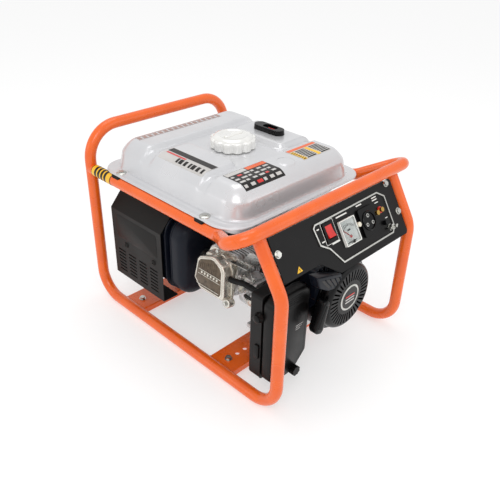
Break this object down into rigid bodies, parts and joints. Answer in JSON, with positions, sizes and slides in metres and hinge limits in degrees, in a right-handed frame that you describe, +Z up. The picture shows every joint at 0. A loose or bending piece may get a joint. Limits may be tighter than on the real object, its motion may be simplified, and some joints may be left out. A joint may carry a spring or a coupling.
{
  "type": "portable generator",
  "caption": "Open-frame portable petrol generator with tubular frame, steel fuel tank, air-cooled engine, alternator and control panel.",
  "frame": {"origin": "Centre of the footprint on the floor, under the rubber feet.", "axes": "X runs to the generator's right seen from its control panel, Y from the panel side to the back, Z up."},
  "size_m": [0.5358, 0.6114, 0.4437],
  "materials": {
    "orange_tube": "orange powder coat",
    "tank_paint": "silver paint on pressed steel",
    "black_steel": "satin black paint",
    "shroud_paint": "blue-black paint",
    "zinc": "bright zinc plate",
    "steel": "ground steel",
    "cast_alloy": "as-cast aluminium",
    "lamination": "varnished laminations and windings",
    "black_plastic": "textured black plastic",
    "gloss_black": "gloss black plastic",
    "cap_white": "pearl white plastic",
    "red_plastic": "gloss red plastic",
    "white_plastic": "white plastic",
    "cream_plastic": "light plastic",
    "rubber": "moulded rubber",
    "rope": "braided cord",
    "foam": "oiled filter foam",
    "brass": "machined brass",
    "needle_red": "red enamel",
    "shield": "black heat-resistant paint",
    "hot_steel": "heat-resistant blue-black paint"
  },
  "bodies": {
    "frame": {"left_side_hoop": "orange_tube", "right_side_hoop": "orange_tube", "rear_handle": "orange_tube", "top_rail_and_front_handle": "orange_tube", "front_cross_plate": "orange_tube", "rear_cross_plate": "orange_tube", "rubber_feet": "rubber", "engine_mounts": "rubber", "frame_bolts": "zinc", "flange_bolts": "zinc", "tank_lower_shell": "tank_paint", "tank_upper_shell": "tank_paint", "tank_pads": "rubber", "gauge_housing": "gloss_black", "crankcase": "cast_alloy", "cylinder_head": "cast_alloy", "valve_cover": "cast_alloy", "spark_plug": "white_plastic", "plug_lead": "rubber", "stator": "lamination", "alternator_bell": "cast_alloy", "alternator_end_frame": "cast_alloy", "alternator_end_cover": "black_plastic", "fan_shroud": "shroud_paint", "recoil_cover": "gloss_black", "carburettor": "cast_alloy", "air_box_base": "black_plastic", "air_box_cover": "black_plastic", "air_filter_element": "foam", "breather_hose": "rubber", "fuel_hose": "rubber", "exhaust_pipe": "steel", "muffler_body": "hot_steel", "heat_shield": "shield", "control_panel": "black_steel", "panel_bezel": "zinc", "voltmeter_case": "white_plastic", "ac_socket": "black_plastic", "dc_terminals": "brass", "earth_stud": "zinc"},
    "cap": {"fuel_cap": "cap_white"},
    "level_needle": {"gauge_needle": "needle_red"},
    "level_float": {"gauge_float": "black_plastic"},
    "crank": {"crankshaft": "steel", "flywheel": "cast_alloy", "rotor": "lamination"},
    "piston": {"piston": "cast_alloy"},
    "grip": {"recoil_grip": "gloss_black", "starter_rope": "rope"},
    "pulley": {"recoil_pulley": "black_plastic"},
    "dipstick": {"oil_dipstick": "black_plastic"},
    "choke": {"choke_lever": "zinc"},
    "throttle": {"throttle_lever": "zinc"},
    "fuel_tap": {"fuel_tap_lever": "black_plastic"},
    "knob": {"air_box_knob": "black_plastic"},
    "rocker": {"rocker_switch": "red_plastic"},
    "meter_needle": {"voltmeter_needle": "needle_red"},
    "ac_button": {"ac_breaker_button": "cream_plastic"},
    "dc_button": {"dc_breaker_button": "black_plastic"},
    "nut": {"earth_nut": "zinc"}
  },
  "joints": [
    {"name": "cap_turn", "type": "hinge", "parent": "frame", "child": "cap", "pos_m": [0, 0.045, 0.43], "axis": [0, 0, 1], "range_deg": [0, 90]},
    {"name": "float_swing", "type": "hinge", "parent": "frame", "child": "level_float", "pos_m": [0.112, 0.043, 0.3962], "axis": [1, 0, 0], "range_deg": [-28, 12]},
    {"name": "needle_turn", "type": "hinge", "parent": "frame", "child": "level_needle", "pos_m": [0.112, 0.026, 0.4272], "axis": [0, 0, 1], "range_deg": [-32, 16]},
    {"name": "crank_spin", "type": "hinge", "parent": "frame", "child": "crank", "pos_m": [0.015, 0, 0.176], "axis": [0, 1, 0], "continuous": true},
    {"name": "piston_stroke", "type": "slide", "parent": "frame", "child": "piston", "axis": [-0.9781, 0, 0.2079], "range_m": [-0.037, 0]},
    {"name": "rope_pull", "type": "slide", "parent": "frame", "child": "grip", "axis": [0, -0.9397, 0.342], "range_m": [0, 0.6], "stiffness_N_per_m": 25, "springref_m": -0.15},
    {"name": "pulley_spin", "type": "hinge", "parent": "frame", "child": "pulley", "pos_m": [0.015, -0.27, 0.176], "axis": [0, 1, 0], "range_deg": [0, 747.3]},
    {"name": "dipstick_turn", "type": "hinge", "parent": "frame", "child": "dipstick", "pos_m": [0.11, -0.11, 0.1001], "axis": [0.9119, 0, 0.4104], "range_deg": [0, 360]},
    {"name": "choke_swing", "type": "hinge", "parent": "frame", "child": "choke", "pos_m": [-0.152, -0.162, 0.222], "axis": [1, 0, 0], "range_deg": [-45, 0]},
    {"name": "fuel_tap_turn", "type": "hinge", "parent": "frame", "child": "fuel_tap", "pos_m": [-0.152, -0.154, 0.191], "axis": [1, 0, 0], "range_deg": [0, 90]},
    {"name": "throttle_swing", "type": "hinge", "parent": "frame", "child": "throttle", "pos_m": [-0.152, -0.146, 0.213], "axis": [1, 0, 0], "range_deg": [-20, 15]},
    {"name": "knob_turn", "type": "hinge", "parent": "frame", "child": "knob", "pos_m": [-0.124, -0.269, 0.052], "axis": [0, 1, 0], "range_deg": [0, 360]},
    {"name": "rocker_tilt", "type": "hinge", "parent": "frame", "child": "rocker", "pos_m": [-0.038, -0.2559, 0.33636], "axis": [1, 0, 0], "range_deg": [0, 20]},
    {"name": "meter_needle_turn", "type": "hinge", "parent": "frame", "child": "meter_needle", "pos_m": [0.013, -0.2736, 0.31558], "axis": [0, -0.848, 0.53], "range_deg": [-90, 0]},
    {"name": "ac_button_press", "type": "slide", "parent": "frame", "child": "ac_button", "axis": [0, 0.848, -0.53], "range_m": [0, 0.003], "stiffness_N_per_m": 300, "springref_m": -0.001},
    {"name": "dc_button_press", "type": "slide", "parent": "frame", "child": "dc_button", "axis": [0, 0.848, -0.53], "range_m": [0, 0.003], "stiffness_N_per_m": 300, "springref_m": -0.001},
    {"name": "nut_turn", "type": "hinge", "parent": "frame", "child": "nut", "pos_m": [0.137, -0.29024, 0.2965], "axis": [0, -0.848, 0.53], "range_deg": [0, 360]}
  ],
  "couplings": [
    {"joint": "needle_turn", "follows": "float_swing", "ratio": 1},
    {"joint": "pulley_spin", "follows": "rope_pull", "rad_per_m": 21.739}
  ]
}
